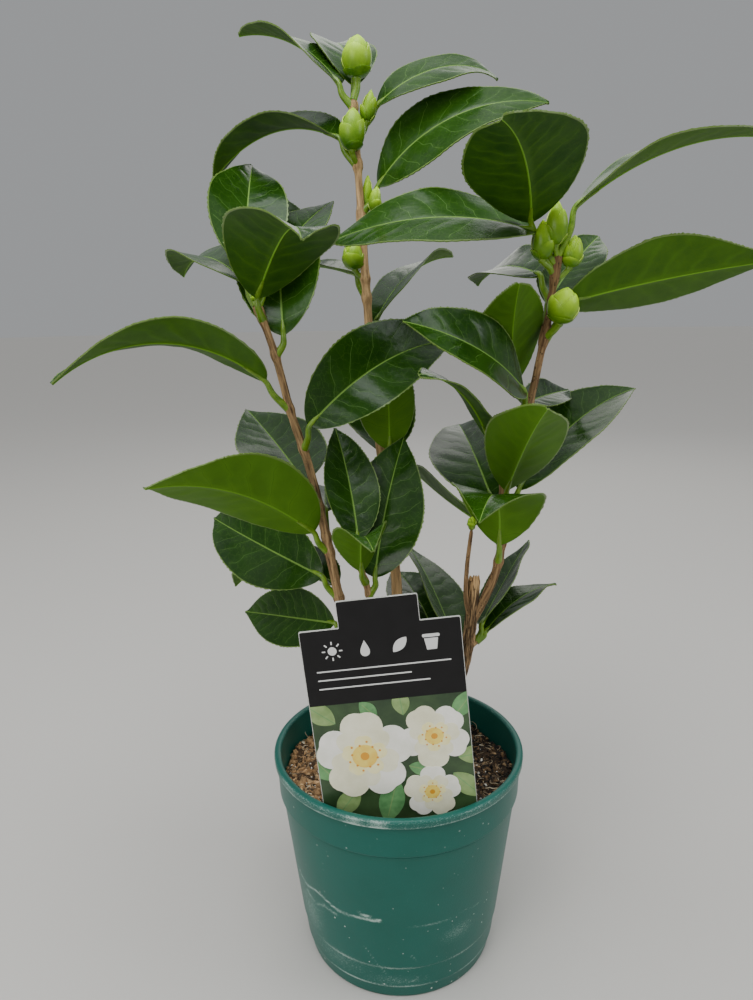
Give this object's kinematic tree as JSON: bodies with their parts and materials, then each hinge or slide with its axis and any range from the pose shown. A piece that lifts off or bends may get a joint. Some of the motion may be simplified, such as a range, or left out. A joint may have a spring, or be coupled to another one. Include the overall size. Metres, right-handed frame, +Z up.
{
  "type": "camellia shrub in a pot",
  "caption": "Evergreen camellia shrub with upright stems, glossy oval leaves and closed buds, rooted in a filled round nursery pot with a picture tag stuck in the soil.",
  "frame": {"origin": "centre of the flat underside of the pot", "axes": "+Z straight up, -Y towards the side that the tag faces, +X to the right of that view"},
  "size_m": [0.3154, 0.2063, 0.4676],
  "materials": {
    "pot": "satin teal green",
    "soil": "loose dark potting mix",
    "tag": "satin print",
    "bark": "tan bark",
    "leaf": "glossy dark green"
  },
  "bodies": {
    "root": {"pot": "pot", "soil": "soil", "tag": "tag", "trunk": "bark", "bough_middle": "bark", "bough_left": "bark", "bough_right": "bark", "bough_inner": "bark", "twig_right": "bark", "foliage_left_low": "leaf", "foliage_left_middle": "leaf", "foliage_left_top": "leaf", "foliage_middle_low": "leaf", "foliage_middle_middle": "leaf", "foliage_middle_top": "leaf", "foliage_inner": "leaf", "foliage_right_foot": "leaf", "foliage_right_inner": "leaf", "foliage_right_low": "leaf", "foliage_right_middle": "leaf", "foliage_right_top": "leaf"}
  },
  "joints": []
}
